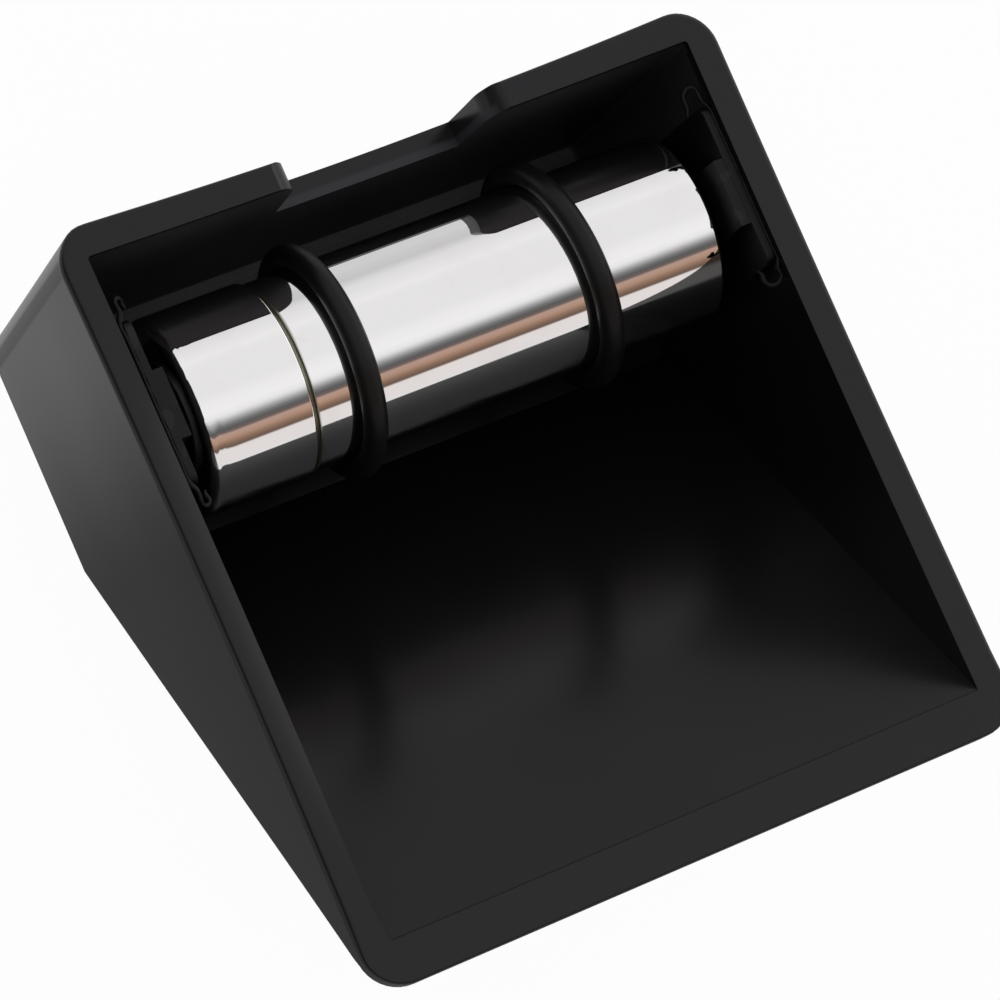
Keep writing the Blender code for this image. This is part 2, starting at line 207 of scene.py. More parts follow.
def noise(tree, place, scale, detail=2.0, stretch=None, roughness=0.5):
    """Noise from 0 to 1, which a Mapping node can stretch along an axis."""
    if stretch:
        place = tree.node("ShaderNodeMapping", None, {"Vector": place, "Scale": stretch})
    return tree.node("ShaderNodeTexNoise", {"noise_dimensions": "3D"},
                     {"Vector": place, "Scale": scale, "Detail": detail, "Roughness": roughness}, "Fac")


def bump(tree, height, distance, strength=1.0):
    return tree.node("ShaderNodeBump", None, {"Height": height, "Distance": distance, "Strength": strength})


def axis_part(tree, place, axis):
    return tree.node("ShaderNodeSeparateXYZ", None, {"Vector": place}, axis)


print("finish helpers ready")

# %% [markdown]
# ### Moulded black plastic
# The tray is injection moulded in a glossy black plastic. Its face is nearly flat, with the very soft
# waviness that a moulding keeps from its tool, a fine surface grain, and a few faint handling scuffs. The
# scuffs are a stretched noise cut off high, so only thin streaks stay. They are duller and a shade
# lighter than the rest. Masks on the model's own coordinates make the end wall's inner face duller, make
# it and the corners beside it paler and bluer, paint a pale strip on the floor behind the roller as a
# painted reflection of the roller, and give the left rim a soft crown.


# %% Black moulding
MOULDING_TINT = (1.0, 0.97, 1.1)
INSIDE_TINT = (1.0, 0.98, 1.15)
CROWN_HEIGHT = 2.0


def left_rim_crown(tree, place):
    """A soft crown across the left rim, strongest in the middle of its length."""
    x = axis_part(tree, place, "X")
    along = x.output("Y")
    share = ((x + 24.6 * MM) / (1.7 * MM)).most(0.0).least(1.0)
    on_rim = x.output("Z").ramp(24.4 * MM, 24.8 * MM) * (1.0 - x.ramp(-22.7 * MM, -22.3 * MM))
    middle = along.band(-24.0 * MM, -8.0 * MM, 9.0 * MM, 20.0 * MM)
    return share * share * on_rim * middle


def end_wall_inside(tree, place):
    """1 on the inner face of the end wall, which is made paler, bluer and rougher than the rest."""
    along = axis_part(tree, place, "Y")
    on_face = along.band(23.9 * MM, 24.2 * MM, 25.0 * MM, 25.4 * MM)
    return on_face * (1.0 - along.output("Z").ramp(24.3 * MM, 24.8 * MM))


def deep_corners(tree, place):
    """1 on the inner faces of the side walls where they meet the end wall."""
    x = axis_part(tree, place, "X")
    on_face = abs(x).band(21.4 * MM, 21.7 * MM, 22.85 * MM, 23.1 * MM)
    below_rim = 1.0 - x.output("Z").ramp(24.0 * MM, 24.5 * MM)
    return on_face * x.output("Y").ramp(11.0 * MM, 20.0 * MM) * below_rim


def roller_reflection_strip(tree, place):
    """1 on the flat floor behind the roller, where a pale strip is painted as the roller's reflection."""
    x = axis_part(tree, place, "X")
    on_floor = x.output("Z").band(0.9 * MM, 1.3 * MM, 1.7 * MM, 2.4 * MM)
    behind = x.output("Y").band(17.0 * MM, 20.0 * MM, 24.9 * MM, 25.3 * MM)
    return on_floor * behind * (1.0 - abs(x).ramp(22.0 * MM, 22.6 * MM))


def black_moulding_finish():
    material, tree, place = new_finish("black_moulding")
    cloud = noise(tree, place, 140.0, 3.0)
    grain = noise(tree, place, 5200.0, 2.0)
    wave = noise(tree, place, 75.0, 1.0)
    scuff = noise(tree, place, 260.0, 4.0, stretch=(1.0, 9.0, 3.0), roughness=0.6).ramp(0.68, 0.80)
    cross_scuff = noise(tree, place, 310.0, 4.0, stretch=(8.0, 1.0, 2.0), roughness=0.6).ramp(0.70, 0.80)
    worn = (scuff + cross_scuff).least(1.0) * cloud.ramp(0.42, 0.62)
    colour = tree.mix(cloud, grey(0.0046, MOULDING_TINT), grey(0.0064, MOULDING_TINT))
    colour = tree.mix(worn * 0.4, colour, grey(0.0090))
    end_wall_face = end_wall_inside(tree, place)
    paler_inside = end_wall_face.most(deep_corners(tree, place))
    colour = tree.mix(paler_inside * 0.8, colour, grey(0.024, INSIDE_TINT))
    # Painted reflection: a pale strip on the floor behind the roller, made patchy by the cloud noise.
    dust_and_reflection = roller_reflection_strip(tree, place) * (0.6 + 0.6 * cloud).least(1.0)
    colour = tree.mix(dust_and_reflection, colour, grey(0.100))
    roughness = 0.20 + 0.04 * cloud + 0.06 * worn + 0.16 * end_wall_face
    height = 0.86 * wave + 0.010 * grain - CROWN_HEIGHT * left_rim_crown(tree, place)
    end_finish(tree, colour, roughness, bump(tree, height, 0.00022, 0.5),
               {"IOR": 1.39, "Specular Tint": (0.96, 0.955, 1.0, 1.0)})
    return material


black_moulding = black_moulding_finish()
print("finish", black_moulding.name)

# %% [markdown]
# ### Satin plate plastic and cured adhesive
# The bearing plates are a plainer black plastic with a dull, slightly rough face, and a painted highlight
# makes their top edges paler in patches. The adhesive that holds them has squeezed out and set with a wet
# shine. Its lumps are in its mesh, and a soft noise here adds the small ripples that a skin of cured glue
# has.


# %% Plate plastic and adhesive
def plate_plastic_finish():
    material, tree, place = new_finish("plate_plastic")
    cloud = noise(tree, place, 420.0, 3.0)
    grain = noise(tree, place, 7000.0, 3.0)
    rub = noise(tree, place, 700.0, 3.0).ramp(0.55, 0.70)
    top_edge_highlight = axis_part(tree, place, "Z").ramp(24.25 * MM, 24.45 * MM)
    colour = tree.mix(cloud, grey(0.0014), grey(0.0026))
    # Painted highlight: the top edges are paler, in patches set by the rub noise.
    colour = tree.mix(top_edge_highlight * (0.6 + 0.8 * rub).least(1.0), colour, grey(0.020))
    roughness = 0.46 + 0.10 * cloud - 0.08 * rub
    height = 0.25 * grain + 0.5 * cloud
    end_finish(tree, colour, roughness, bump(tree, height, 0.00006, 0.6), {"IOR": 1.22})
    return material


def adhesive_finish():
    material, tree, place = new_finish("adhesive")
    ripple = noise(tree, place, 900.0, 2.0)
    cloud = noise(tree, place, 500.0, 2.0)
    colour = tree.mix(cloud, grey(0.0022), grey(0.0045))
    end_finish(tree, colour, 0.30 + 0.16 * cloud, bump(tree, ripple, 0.00012, 0.7), {"IOR": 1.24})
    return material


plate_plastic = plate_plastic_finish()
adhesive = adhesive_finish()
print("finishes", plate_plastic.name, adhesive.name)

# %% [markdown]
# ### Chrome
# The roller is bright chrome on drawn steel. Chrome is almost a mirror, so its look comes from what it
# reflects; the finish only adds faint smudges, hairlines round the barrel and a very slight unevenness.
# The seam between the cap and the barrel holds a little brownish grime, which a mask on X paints where
# the groove is. The drawn cap is less even close to its closed end.


# %% Chrome finish
AXIS_Y = 14.25 * MM
AXIS_Z = 15.60 * MM
LEFT_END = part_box("roller_end_cap")[0].x
SEAM_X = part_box("roller_end_cap")[1].x
RIGHT_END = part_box("roller_barrel")[1].x
STAIN_COLOUR = (0.72, 0.68, 0.52, 1.0)
GRIME_COLOUR = (0.24, 0.23, 0.16, 1.0)


def chrome_finish():
    material, tree, place = new_finish("roller_chrome")
    along = axis_part(tree, place, "X")
    smudge = noise(tree, place, 190.0, 4.0, roughness=0.6).ramp(0.50, 0.74)
    hairline = noise(tree, place, 900.0, 2.0, stretch=(14.0, 0.4, 0.4))
    uneven = noise(tree, place, 130.0, 1.0)
    dents = noise(tree, place, 420.0, 2.0, stretch=(2.4, 0.7, 0.7))
    ragged = along + (uneven - 0.5) * (0.5 * MM)
    seam = 1.0 - abs(ragged - (SEAM_X + 0.15 * MM)).ramp(0.14 * MM, 0.34 * MM)
    stain = (1.0 - abs(along - (SEAM_X + 0.5 * MM)).ramp(0.1 * MM, 1.2 * MM)) * smudge
    end_zone = 1.0 - along.ramp(LEFT_END + 0.5 * MM, LEFT_END + 1.9 * MM)
    colour = tree.mix(smudge, grey(0.93, (1.0, 0.985, 0.985)), grey(0.89, (1.0, 0.98, 0.975)))
    colour = tree.mix(stain * 0.45, colour, STAIN_COLOUR)
    colour = tree.mix(seam * 0.85, colour, GRIME_COLOUR)
    roughness = 0.022 + 0.05 * smudge + 0.30 * seam
    height = 0.06 * uneven + 0.004 * hairline + 1.1 * dents * end_zone
    end_finish(tree, colour, roughness, bump(tree, height, 0.0002, 0.35), {"Metallic": 1.0})
    return material


roller_chrome = chrome_finish()
print("finish", roller_chrome.name)

# %% [markdown]
# ### Rubber, steel and acetal
# The rings are smooth black rubber with a soft unevenness and a little dust. The axle is ground steel
# with fine turning marks round it, and the bushes are a waxy black acetal. The last two are almost hidden
# inside the roller, but they still get their own grain so that the tool can be shown taken apart.


# %% Rubber, steel and acetal
def ring_rubber_finish():
    material, tree, place = new_finish("ring_rubber")
    cloud = noise(tree, place, 350.0, 3.0)
    grain = noise(tree, place, 6500.0, 2.0)
    dust_and_reflection = noise(tree, place, 2600.0, 3.0).ramp(0.66, 0.74)
    colour = tree.mix(cloud, grey(0.0026), grey(0.0052))
    colour = tree.mix(dust_and_reflection * 0.35, colour, grey(0.018))
    roughness = 0.36 + 0.16 * cloud + 0.2 * dust_and_reflection
    height = 0.8 * cloud + 0.12 * grain
    end_finish(tree, colour, roughness, bump(tree, height, 0.00008, 0.5), {"IOR": 1.33})
    return material


def axle_steel_finish():
    material, tree, place = new_finish("axle_steel")
    turning = noise(tree, place, 1500.0, 2.0, stretch=(9.0, 0.5, 0.5))
    cloud = noise(tree, place, 300.0, 3.0)
    colour = tree.mix(turning, grey(0.50), grey(0.64, (1.0, 1.0, 1.02)))
    end_finish(tree, colour, 0.22 + 0.14 * cloud, bump(tree, turning, 0.00002, 0.5), {"Metallic": 1.0})
    return material


def bush_plastic_finish():
    material, tree, place = new_finish("bush_plastic")
    cloud = noise(tree, place, 500.0, 3.0)
    grain = noise(tree, place, 6000.0, 2.0)
    colour = tree.mix(cloud, grey(0.008), grey(0.016))
    end_finish(tree, colour, 0.36 + 0.14 * cloud, bump(tree, grain, 0.00003, 0.5), {"IOR": 1.48})
    return material


ring_rubber = ring_rubber_finish()
axle_steel = axle_steel_finish()
bush_plastic = bush_plastic_finish()
print("finishes", ring_rubber.name, axle_steel.name, bush_plastic.name)

# %% [markdown]
# ## Making and placing meshes
# Every finished piece is a plain mesh whose object sits at the origin. These helpers link an object, bake
# its modifiers into a mesh, cut one mesh out of another, and give soft edges their shading. Weighted
# normals let the wide flat faces keep their own direction, so only the small rounded edges catch the
# light.


# %% Mesh helpers
WELD = 0.000001
NORMAL_WEIGHT = 60
PIECE_CREASE = 40


def link(name, data):
    item = bpy.data.objects.new(name, data)
    bpy.context.scene.collection.objects.link(item)
    return item


def baked(item, name):
    """The object's evaluated shape as a mesh of its own; the object is then removed."""
    bpy.context.view_layer.update()
    graph = bpy.context.evaluated_depsgraph_get()
    mesh = bpy.data.meshes.new_from_object(item.evaluated_get(graph), depsgraph=graph)
    mesh.name = name
    bpy.data.objects.remove(item, do_unlink=True)
    return mesh


def edit_mesh(mesh, change):
    """Let change(shape) work on a mesh as a bmesh, and pass on what it returns."""
    shape = bmesh.new()
    shape.from_mesh(mesh)
    result = change(shape)
    shape.to_mesh(mesh)
    shape.free()
    return result


def face_outward(shape):
    bmesh.ops.recalc_face_normals(shape, faces=shape.faces)


def mesh_from(name, build):
    """Let build(shape) fill a new mesh, and turn its faces outward."""
    mesh = bpy.data.meshes.new(name)
    edit_mesh(mesh, build)
    edit_mesh(mesh, face_outward)
    return mesh


def cut(mesh, tool, operation="DIFFERENCE"):
    """Cut a tool mesh out of a mesh, or join it on."""
    item = link("workpiece", mesh)
    knife = link("tool", tool)
    modifier = item.modifiers.new("cut", "BOOLEAN")
    modifier.operation = operation
    modifier.object = knife
    modifier.solver = "EXACT"
    result = baked(item, mesh.name)
    bpy.data.objects.remove(knife, do_unlink=True)
    return result


def round_edges(mesh, wanted, width, segments):
    """Round every edge for which wanted(edge) is true, and say how many there were."""
    def change(shape):
        bmesh.ops.remove_doubles(shape, verts=shape.verts, dist=WELD)
        shape.normal_update()
        edges = [edge for edge in shape.edges if len(edge.link_faces) == 2 and wanted(edge)]
        count = len(edges)
        bmesh.ops.bevel(shape, geom=edges, offset=width, offset_type="OFFSET", segments=segments,
                        profile=0.5, affect="EDGES", clamp_overlap=True, miter_outer="ARC")
        return count
    return edit_mesh(mesh, change)


def soft_shading(mesh, degrees=PIECE_CREASE):
    """Smooth shading with sharp edges kept, and normals weighted by face size."""
    mesh.shade_smooth()
    mesh.set_sharp_from_angle(angle=math.radians(degrees))
    item = link("shading", mesh)
    weighted = item.modifiers.new("weighted", "WEIGHTED_NORMAL")
    weighted.mode = "FACE_AREA_WITH_ANGLE"
    weighted.weight = NORMAL_WEIGHT
    weighted.keep_sharp = True
    return baked(item, mesh.name)


def place_piece(name, mesh, node, body, finish):
    """Put a finished mesh in the scene in place of its solid."""
    mesh.materials.clear()
    mesh.materials.append(finish)
    piece = link(name, mesh)
    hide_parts(node)
    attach(piece, body)
    lowest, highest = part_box(node)
    size = [round((high - low) / MM, 1) for low, high in zip(lowest, highest)]
    print("made", name, len(mesh.polygons), "faces, solid size mm", size)


print("mesh helpers ready")

# %% [markdown]
# ## The moulded tray
# The tray is one moulding: a block with drafted sides and rounded corners, cut away behind to leave a
# sloping back, and hollowed from above so that the walls and the floor keep a nearly even thickness. A
# notch passes through the end wall. It could be modelled face by face, but cutting simple shapes out of
# each other follows the way the mould itself is made, and keeps the numbers few. The long straight sides
# get extra points so that the wall can be bowed a little afterwards, as thin mouldings bow when they
# cool.

# %% Tray sizes
WIDTH = 50.0 * MM
LENGTH = 54.0 * MM
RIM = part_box("housing")[1].z
WALL_LEVELS = 10
SIDE_WALL = 2.25 * MM
END_WALL = 2.25 * MM
FLOOR_WALL = 1.5 * MM
DRAFT = math.tan(math.radians(2.0))
LIP_WIDTH = 3.1 * MM
LIP_THICKNESS = 1.4 * MM
LIP_Y = -LENGTH / 2
END_Y = LENGTH / 2
BACK_BEND_Y = END_Y - 18.3 * MM
FLOOR_ANGLE = math.atan2(RIM, BACK_BEND_Y - LIP_Y - LIP_WIDTH)
FLOOR_ANGLE -= math.asin(FLOOR_WALL / math.hypot(RIM, BACK_BEND_Y - LIP_Y - LIP_WIDTH))
SLOPE = math.tan(FLOOR_ANGLE)
print("rim at", round(RIM / MM, 2), "mm, floor slope", round(math.degrees(FLOOR_ANGLE), 1), "degrees")


# %% Outlines
def arc(centre, radius, start, end, steps):
    """Points along an arc, with angles in degrees."""
    points = []
    for step in range(steps + 1):
        angle = math.radians(start + (end - start) * step / steps)
        points.append((centre[0] + radius * math.cos(angle), centre[1] + radius * math.sin(angle)))
    return points


def rounded_outline(x_half, y_low, y_high, radius, corner_steps, spacing):
    """A rounded rectangle with extra points along its straight sides."""
    corners = (
        (x_half - radius, y_low + radius, -90),
        (x_half - radius, y_high - radius, 0),
        (radius - x_half, y_high - radius, 90),
        (radius - x_half, y_low + radius, 180),
    )
    points = []
    for x, y, start in corners:
        points += arc((x, y), radius, start, start + 90, corner_steps)
    filled = []
    for here, after in zip(points, points[1:] + points[:1]):
        run = math.hypot(after[0] - here[0], after[1] - here[1])
        count = max(1, round(run / spacing)) if run > 2 * spacing else 1
        for step in range(count):
            share = step / count
            filled.append((here[0] + (after[0] - here[0]) * share, here[1] + (after[1] - here[1]) * share))
    return filled


def loft(name, rings):
    """A closed body through rings of points that all have the same count, lowest ring first."""
    def build(shape):
        loops = [[shape.verts.new(point) for point in ring] for ring in rings]
        for low, high in zip(loops, loops[1:]):
            for index in range(len(low)):
                after = (index + 1) % len(low)
                shape.faces.new((low[index], low[after], high[after], high[index]))
        shape.faces.new(loops[0])
        shape.faces.new(loops[-1])
    return mesh_from(name, build)


def leaning(point, x_half):
    """Lean a point in towards the middle with its depth below the rim."""
    x, y, z = point
    return (x * (x_half - (RIM - z) * DRAFT) / x_half, y, z)


def drafted_block(name, outline, x_half, top, bottom):
    """A block under a rim outline, whose long sides lean in with depth below the rim."""
    levels = [bottom + (top - bottom) * step / WALL_LEVELS for step in range(WALL_LEVELS + 1)]
    return loft(name, [[leaning((x, y, z), x_half) for x, y in outline] for z in levels])


def prism(name, corners, across, low, high):
    """A flat outline pushed along X or along Y between two places."""
    rings = []
    for place in (low, high):
        rings.append([(place, a, b) if across == "X" else (a, place, b) for a, b in corners])
    return loft(name, rings)


print("outline tools ready")


# %% Outside of the tray
RIM_STEPS = 8
RIM_ZONE = 1.2 * MM
RIM_ROUND = 0.38 * MM
LEFT_RIM_ROUND = 0.60 * MM
LIP_ROUND = 0.20 * MM
TRAY_CORNER = 3.0 * MM
SIDE_SPACING = 2.2 * MM
BACK_ROUND = 0.5 * MM
SPARE = 2 * MM


def clamp(value):
    return max(0.0, min(1.0, value))


def blend(value, low, high):
    """0 below low, 1 above high, and smooth between them."""
    share = clamp((value - low) / (high - low))
    return share * share * (3.0 - 2.0 * share)


def rim_radius(x, y):
    """The rim's outer rounding: widest along the left wall, small elsewhere, almost sharp at the lip."""
    radius = RIM_ROUND + (LEFT_RIM_ROUND - RIM_ROUND) * (1.0 - blend(x, -24.9 * MM, -22.6 * MM))
    return LIP_ROUND + (radius - LIP_ROUND) * blend(y, LIP_Y + 0.6 * MM, LIP_Y + 5.0 * MM)


def rim_rings(outline):
    """Rings of points up the outside and over the rounded rim."""
    count = len(outline)
    levels = [(RIM - RIM_ZONE) * step / WALL_LEVELS for step in range(WALL_LEVELS)]
    rings = [[leaning((x, y, z), WIDTH / 2) for x, y in outline] for z in levels]
    for step in range(RIM_STEPS + 1):
        angle = math.pi / 2 * step / RIM_STEPS
        ring = []
        for index, (x, y) in enumerate(outline):
            before = outline[index - 1]
            after = outline[(index + 1) % count]
            ahead = Vector((after[0] - before[0], after[1] - before[1])).normalized()
            radius = rim_radius(x, y)
            inset = radius * (1.0 - math.cos(angle))
            z = RIM - radius * (1.0 - math.sin(angle))
            ring.append(leaning((x - ahead.y * inset, y + ahead.x * inset, z), WIDTH / 2))
        rings.append(ring)
    return rings


def make_tray_outside():
    outline = rounded_outline(WIDTH / 2, LIP_Y, END_Y, TRAY_CORNER, 10, SIDE_SPACING)
    mesh = loft("tray", rim_rings(outline))
    lip_under = RIM - LIP_THICKNESS
    lip_back_y = BACK_BEND_Y - lip_under / SLOPE
    behind = (
        (LIP_Y - SPARE, lip_under),
        (lip_back_y, lip_under),
        (BACK_BEND_Y, 0.0),
        (BACK_BEND_Y, -SPARE),
        (LIP_Y - SPARE, -SPARE),
    )
    mesh = cut(mesh, prism("slope", behind, "X", -WIDTH, WIDTH))

    def on_back_outline(edge):
        steep = [abs(face.normal.z) < 0.3 for face in edge.link_faces]
        under = [face.normal.z < -0.5 for face in edge.link_faces]
        return any(steep) and any(under)

    backs = round_edges(mesh, on_back_outline, BACK_ROUND, 5)
    print("rounded", backs, "back edges")
    return mesh


tray_mesh = make_tray_outside()

# %% [markdown]
# The hollow is a second drafted block with everything below the floor taken off it first. Cutting that
# one shape out of the outside gives the walls, the floor, the crease at the lip and the inner corners
# together. The floor is a degree steeper inside than outside, which brings the roller's reflection in it
# nearer to where it lies on the real tool.


# %% Hollow, notch and crease
NOTCH_DEPTH = 7.2 * MM
NOTCH_CREASE = 8.8 * MM
NOTCH_ROUND = 2.6 * MM
CREASE_ANGLE = 117
INNER_CORNER = 0.25 * MM
INNER_SLOPE = math.tan(FLOOR_ANGLE + math.radians(1.0))


def make_hollow():
    crease_y = LIP_Y + LIP_WIDTH
    bend_y = crease_y + (RIM - FLOOR_WALL) / INNER_SLOPE
    front_y = crease_y - SPARE / INNER_SLOPE
    half = WIDTH / 2 - SIDE_WALL
    outline = rounded_outline(half, front_y, END_Y - END_WALL, INNER_CORNER, 4, SIDE_SPACING)
    block = drafted_block("hollow", outline, half, RIM + SPARE, 0.0)
    far_y = front_y - SPARE
    under_floor = (
        (far_y, RIM + (crease_y - far_y) * INNER_SLOPE),
        (bend_y, FLOOR_WALL),
        (END_Y, FLOOR_WALL),
        (END_Y, -SPARE),
        (far_y, -SPARE),
    )
    return cut(block, prism("under_floor", under_floor, "X", -WIDTH, WIDTH))


def make_notch():
    """Sides that lean out, then a wide round that meets the flat rim at a crease."""
    crease = math.radians(CREASE_ANGLE)
    middle = (NOTCH_CREASE - NOTCH_ROUND * math.cos(crease), RIM - NOTCH_ROUND * math.sin(crease))
    rim_arc = arc(middle, NOTCH_ROUND, 177, CREASE_ANGLE, 12)
    side_x, side_z = rim_arc[0]
    foot_z = RIM - NOTCH_DEPTH
    foot_x = side_x - (side_z - foot_z) * math.tan(math.radians(3.0))
    right = [(foot_x, foot_z), *rim_arc, (NOTCH_CREASE, RIM + SPARE)]
    left = [(-x, z) for x, z in reversed(right)]
    return prism("notch", right + left, "Y", END_Y - END_WALL - SPARE, END_Y + SPARE)


def make_crease():
    """A fine groove where the sloping floor meets the flat lip."""
    crease_y = LIP_Y + LIP_WIDTH
    half = WIDTH / 2 - SIDE_WALL - 0.1 * MM
    corners = (
        (crease_y - 0.04 * MM, RIM + 0.02 * MM),
        (crease_y, RIM - 0.08 * MM),
        (crease_y + 0.16 * MM, RIM - 0.04 * MM),
        (crease_y + 0.16 * MM, RIM + 0.02 * MM),
    )
    return prism("crease", corners, "X", -half, half)


for hollow_tool in (make_hollow(), make_notch(), make_crease()):
    tray_mesh = cut(tray_mesh, hollow_tool)
print("tray faces", len(tray_mesh.polygons))

# %% [markdown]
# The real wall is not quite straight: the end wall bows inward at its rim, more on its outer face than on
# its inner face, and the side walls bow a little too. Moving the points by a smooth rule, strongest at
# mid-span and towards the rim, gives that slight curve. After it the sharp inner edges get a small round,
# so that they catch a thin line of light as they do on the real moulding.


# %% Bow and edge rounds
RIM_EDGE_ROUND = 0.16 * MM
NOTCH_EDGE_ROUND = 0.14 * MM
SHARP_ANGLE = math.radians(28)
TRAY_CREASE = 24
END_BOW_INNER = 0.24 * MM
END_BOW_OUTER = 0.56 * MM
END_BOW_BELLY = 1.3 * MM
RIGHT_BOW = 0.15 * MM
LEFT_BOW_INNER = 0.18 * MM
LEFT_BOW_OUTER = 0.30 * MM
LEFT_INNER_SHIFT = 0.30 * MM


def bow_walls(mesh):
    """Move the walls by a few tenths of a millimetre, most at mid-span and towards the rim."""
    for vertex in mesh.vertices:
        x, y, z = vertex.co
        height = clamp(z / RIM)
        if y > END_Y - END_WALL - 0.1 * MM:
            span = max(0.0, 1.0 - (x / (WIDTH / 2 - 2 * MM)) ** 2)
            depth = clamp((y - (END_Y - END_WALL)) / END_WALL)
            outer = END_BOW_OUTER * height + END_BOW_BELLY * height * (1.0 - height)
            vertex.co.y -= (END_BOW_INNER * height * (1.0 - depth) + outer * depth) * span
        along = max(0.0, 1.0 - ((y + 2 * MM) / (LENGTH / 2 - 1 * MM)) ** 2)
        if x > WIDTH / 2 - SIDE_WALL - 1.5 * MM and y > LIP_Y + LIP_WIDTH:
            vertex.co.x -= RIGHT_BOW * along * height
        if x < -(WIDTH / 2 - SIDE_WALL - 1.5 * MM):
            depth = clamp((-x - (WIDTH / 2 - SIDE_WALL)) / SIDE_WALL)
            away = blend(y, LIP_Y + LIP_WIDTH, LIP_Y + LIP_WIDTH + 3 * MM)
            inner = LEFT_BOW_INNER * along - LEFT_INNER_SHIFT * away
            vertex.co.x += (inner * (1.0 - depth) + LEFT_BOW_OUTER * along * depth) * height ** 2


def finish_tray(mesh):
    def sharp(edge):
        return edge.calc_face_angle(0.0) > SHARP_ANGLE

    def inner_rim(edge):
        level = all(abs(vertex.co.z - RIM) < 0.01 * MM for vertex in edge.verts)
        return level and sharp(edge)

    def notch_edge(edge):
        middle = (edge.verts[0].co + edge.verts[1].co) / 2
        near = abs(middle.x) < NOTCH_CREASE + 0.3 * MM and middle.y > END_Y - END_WALL - 0.5 * MM
        inside = RIM - NOTCH_DEPTH - 0.1 * MM < middle.z < RIM - 0.02 * MM
        across = abs(edge.verts[0].co.y - edge.verts[1].co.y) > 1.0 * MM
        return near and inside and sharp(edge) and not across

    rims = round_edges(mesh, inner_rim, RIM_EDGE_ROUND, 5)
    notches = round_edges(mesh, notch_edge, NOTCH_EDGE_ROUND, 4)
    print("rounded", rims, "inner rim edges and", notches, "notch edges")
    return soft_shading(mesh, TRAY_CREASE)


bow_walls(tray_mesh)
tray_mesh = finish_tray(tray_mesh)
place_piece("tray", tray_mesh, "housing", "tray", black_moulding)

# %% [markdown]
# ## Turned pieces
# The barrel, the cap, the bushes, the axle and the rings are all round about one axis, so each is a
# profile carried round a circle. A Geometry Nodes tree does that: it takes the profile as an edge loop,
# turns it into a curve, and sweeps it along a Curve Circle. The Screw modifier or Spin could do the same;
# the tree keeps the number of segments and the unevenness as named inputs that every turned piece shares.


# %% Start and end of a geometry tree
MERGE = 0.000002


def new_geometry_tree(name, inputs):
    """A Geometry Nodes tree with named inputs; returns the tree and the identifier of each input."""
    data = bpy.data.node_groups.new(name, "GeometryNodeTree")
    data.interface.new_socket(name="Geometry", in_out="INPUT", socket_type="NodeSocketGeometry")
    keys = {}
    for label, kind in inputs:
        keys[label] = data.interface.new_socket(name=label, in_out="INPUT", socket_type=kind).identifier
    data.interface.new_socket(name="Geometry", in_out="OUTPUT", socket_type="NodeSocketGeometry")
    return Tree(data), keys


def seeded_noise(tree, place, seed, scale, output="Fac"):
    return tree.node("ShaderNodeTexNoise", {"noise_dimensions": "4D"},
                     {"Vector": place, "W": seed, "Scale": scale, "Detail": 1.0}, output)


def end_geometry(tree, start, shape):
    """Merge, realize and coat a shape, and hand it to the tree's output."""
    merged = tree.node("GeometryNodeMergeByDistance", None, {"Geometry": shape, "Distance": MERGE})
    solid = tree.node("GeometryNodeRealizeInstances", None, {"Geometry": merged})
    coated = tree.node("GeometryNodeSetMaterial", None,
                       {"Geometry": solid, "Material": start.output("Finish")})
    tree.node("NodeGroupOutput", None, {"Geometry": coated})


def run_tree(name, mesh, nodes, keys, values):
    """Run a tree on a mesh, with its named inputs set first, and return the result as a mesh."""
    item = link(name, mesh)
    modifier = item.modifiers.new(name, "NODES")
    modifier.node_group = nodes
    for label, value in values.items():
        modifier[keys[label]] = value
    return baked(item, name)


print("geometry helpers ready")


# %% Tree for turned pieces
def turned_tree():
    tree, keys = new_geometry_tree("turned_piece", (
        ("Path radius", "NodeSocketFloat"),
        ("Segments", "NodeSocketInt"),
        ("Unevenness", "NodeSocketFloat"),
        ("Seed", "NodeSocketFloat"),
        ("Finish", "NodeSocketMaterial"),
    ))
    start = tree.node("NodeGroupInput", output="Geometry")
    profile = tree.node("GeometryNodeMeshToCurve", None, {"Mesh": start})
    circle = tree.node("GeometryNodeCurvePrimitiveCircle", None,
                       {"Resolution": start.output("Segments"), "Radius": start.output("Path radius")})
    swept = tree.node("GeometryNodeCurveToMesh", None, {"Curve": circle, "Profile Curve": profile})
    place = tree.node("GeometryNodeInputPosition")
    lumps = seeded_noise(tree, place, start.output("Seed"), 260.0)
    push = (lumps - 0.5) * start.output("Unevenness")
    offset = tree.scale(tree.node("GeometryNodeInputNormal"), push)
    moved = tree.node("GeometryNodeSetPosition", None, {"Geometry": swept, "Offset": offset})
    end_geometry(tree, start, moved)
    return tree.data, keys


turned_nodes, turned_keys = turned_tree()
print("turned tree inputs", sorted(turned_keys))


# %% Turn one profile
def turn(name, profile, path_radius, segments, finish, unevenness=0.0, seed=0.0):
    """Carry a closed (radius, place along X) profile round the roller's axis and return the mesh."""
    def close(shape):
        bmesh.ops.remove_doubles(shape, verts=shape.verts, dist=MERGE)
        face_outward(shape)
        return sum(not edge.is_manifold for edge in shape.edges)

    points = [(radius - path_radius, -along, 0.0) for radius, along in profile]
    mesh = bpy.data.meshes.new(name)
    mesh.from_pydata(points, [(index, (index + 1) % len(points)) for index in range(len(points))], [])
    made = run_tree(name, mesh, turned_nodes, turned_keys, {
        "Path radius": path_radius,
        "Segments": segments,
        "Unevenness": unevenness,
        "Seed": seed,
        "Finish": finish,
    })
    made.transform(Matrix.Translation((0.0, AXIS_Y, AXIS_Z)) @ Matrix.Rotation(math.pi / 2, 4, "Y"))
    open_edges = edit_mesh(made, close)
    print("turned", name, len(made.polygons), "faces, open edges", open_edges)
    return made


